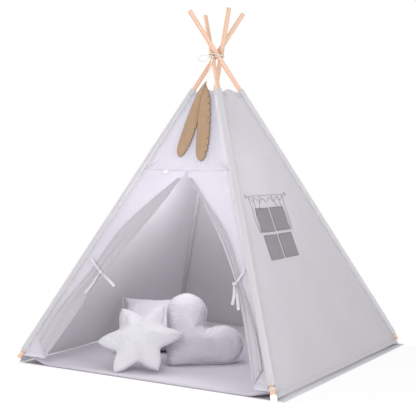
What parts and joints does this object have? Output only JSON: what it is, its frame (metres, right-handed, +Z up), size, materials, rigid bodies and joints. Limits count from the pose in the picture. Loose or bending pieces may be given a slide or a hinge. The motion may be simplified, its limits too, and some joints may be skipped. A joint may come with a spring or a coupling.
{
  "type": "play teepee",
  "caption": "Children's play teepee: wooden poles lashed where they cross, a cotton cover with a door and a window, a padded floor mat, cushions and feather pendants.",
  "frame": {"origin": "on the floor, in the middle of the four feet", "axes": "+Z up, the door faces -Y, and the window is on the +X side"},
  "size_m": [1.1118, 1.1118, 1.3335],
  "materials": {
    "pine": "sanded pine, clear matt finish",
    "white_rubber": "soft white rubber",
    "cover_cotton": "plain woven cotton, very light lilac grey",
    "curtain_cotton": "plain woven cotton, very light lilac grey",
    "mat_cotton": "plain woven cotton over thin padding",
    "cushion_cotton": "plain woven cotton, filled",
    "window_cloth": "grey cotton, sewn on",
    "ribbon": "narrow cotton ribbon",
    "label": "woven tape, blank",
    "cord": "braided cotton cord",
    "elastic": "round elastic cord",
    "feather_felt": "tan felt, cut and edged in a darker brown"
  },
  "bodies": {
    "base": {"floor_mat": "mat_cotton", "mat_loop_front_left": "elastic", "mat_loop_front_right": "elastic", "mat_loop_back_right": "elastic", "mat_loop_back_left": "elastic"},
    "tent_top": {"lashing_cord": "cord", "lashing_knot": "cord", "lashing_loop": "cord", "panel_right": "cover_cotton", "panel_back": "cover_cotton", "panel_left": "cover_cotton", "front_yoke": "cover_cotton", "front_half_left": "cover_cotton", "front_half_right": "cover_cotton", "window_pane_lower_front": "window_cloth", "window_pane_lower_back": "window_cloth", "window_pane_upper_front": "window_cloth", "window_pane_upper_back": "window_cloth", "label_tag": "label"},
    "leg_front_left": {"pole_front_left": "pine", "foot_cap_front_left": "white_rubber", "sleeve_front_left": "cover_cotton"},
    "leg_front_right": {"pole_front_right": "pine", "foot_cap_front_right": "white_rubber", "sleeve_front_right": "cover_cotton"},
    "leg_back_right": {"pole_back_right": "pine", "foot_cap_back_right": "white_rubber", "sleeve_back_right": "cover_cotton"},
    "leg_back_left": {"pole_back_left": "pine", "foot_cap_back_left": "white_rubber", "sleeve_back_left": "cover_cotton"},
    "tie_left": {"tie_band_left": "ribbon", "tie_knot_left": "ribbon", "tie_tail_left_1": "ribbon", "tie_tail_left_2": "ribbon"},
    "tie_right": {"tie_band_right": "ribbon", "tie_knot_right": "ribbon", "tie_tail_right_1": "ribbon", "tie_tail_right_2": "ribbon"},
    "curtain_left": {"door_curtain_left": "curtain_cotton"},
    "curtain_right": {"door_curtain_right": "curtain_cotton"},
    "pendants": {"feather_knot": "cord"},
    "pendant_left": {"feather_left": "feather_felt", "feather_string_left": "cord"},
    "pendant_right": {"feather_right": "feather_felt", "feather_string_right": "cord"},
    "cushions": {"cushion_star": "cushion_cotton", "cushion_heart": "cushion_cotton", "cushion_square": "cushion_cotton"}
  },
  "joints": [
    {"name": "frame_lift", "type": "slide", "parent": "base", "child": "tent_top", "axis": [0, 0, 1], "range_m": [0, 0.759], "deforming": ["panel_right", "panel_back", "panel_left", "front_yoke", "front_half_left", "front_half_right", "window_pane_lower_front", "window_pane_lower_back", "window_pane_upper_front", "window_pane_upper_back", "label_tag", "mat_loop_front_left", "mat_loop_front_right", "mat_loop_back_right", "mat_loop_back_left"]},
    {"name": "fold_front_left", "type": "hinge", "parent": "tent_top", "child": "leg_front_left", "pos_m": [-0.01223, 0.01223, 1.163], "axis": [0.7227, -0.6912, 0], "range_deg": [0, 29]},
    {"name": "fold_front_right", "type": "hinge", "parent": "tent_top", "child": "leg_front_right", "pos_m": [-0.01223, -0.01223, 1.163], "axis": [0.6912, 0.7227, 0], "range_deg": [0, 29]},
    {"name": "fold_back_right", "type": "hinge", "parent": "tent_top", "child": "leg_back_right", "pos_m": [0.01223, -0.01223, 1.163], "axis": [-0.7227, 0.6912, 0], "range_deg": [0, 29]},
    {"name": "fold_back_left", "type": "hinge", "parent": "tent_top", "child": "leg_back_left", "pos_m": [0.01223, 0.01223, 1.163], "axis": [-0.6912, -0.7227, 0], "range_deg": [0, 29]},
    {"name": "front_gather_left", "type": "hinge", "parent": "leg_front_left", "child": "tie_left", "pos_m": [-0.463, -0.571, -0.029], "axis": [0, -0.9038, 0.4279], "range_deg": [0, 12.6], "deforming": ["tie_band_left", "tie_knot_left", "tie_tail_left_1", "tie_tail_left_2"]},
    {"name": "front_gather_right", "type": "hinge", "parent": "leg_front_right", "child": "tie_right", "pos_m": [0.428, -0.475, 0.162], "axis": [0, 0.9038, -0.4279], "range_deg": [0, 13.7], "deforming": ["tie_band_right", "tie_knot_right", "tie_tail_right_1", "tie_tail_right_2"]},
    {"name": "curtain_draw_left", "type": "slide", "parent": "tie_left", "child": "curtain_left", "axis": [-1, 0, 0], "range_m": [-0.42, 0], "deforming": ["door_curtain_left"]},
    {"name": "curtain_draw_right", "type": "slide", "parent": "tie_right", "child": "curtain_right", "axis": [1, 0, 0], "range_m": [-0.46, 0], "deforming": ["door_curtain_right"]},
    {"name": "pendants_tilt", "type": "hinge", "parent": "tent_top", "child": "pendants", "pos_m": [0, -0.0313, 1.1584], "axis": [1, 0, 0], "range_deg": [0, 12]},
    {"name": "pendant_swing_left", "type": "hinge", "parent": "pendants", "child": "pendant_left", "pos_m": [0, -0.0313, 1.1584], "axis": [0, -0.9038, 0.4279], "range_deg": [-10, 10], "deforming": ["feather_string_left"]},
    {"name": "pendant_swing_right", "type": "hinge", "parent": "pendants", "child": "pendant_right", "pos_m": [0, -0.0313, 1.1584], "axis": [0, -0.9038, 0.4279], "range_deg": [-10, 6], "deforming": ["feather_string_right"]},
    {"name": "cushions_out", "type": "slide", "parent": "base", "child": "cushions", "axis": [0, -1, 0], "range_m": [0, 0.6]}
  ],
  "couplings": [
    {"joint": "fold_front_left", "follows": "frame_lift", "rad_per_m": 0.6666},
    {"joint": "fold_front_right", "follows": "frame_lift", "rad_per_m": 0.6666},
    {"joint": "fold_back_right", "follows": "frame_lift", "rad_per_m": 0.6666},
    {"joint": "fold_back_left", "follows": "frame_lift", "rad_per_m": 0.6666},
    {"joint": "front_gather_left", "follows": "frame_lift", "rad_per_m": 0.2895},
    {"joint": "front_gather_right", "follows": "frame_lift", "rad_per_m": 0.3148},
    {"joint": "pendants_tilt", "follows": "frame_lift", "rad_per_m": 0.2755}
  ]
}
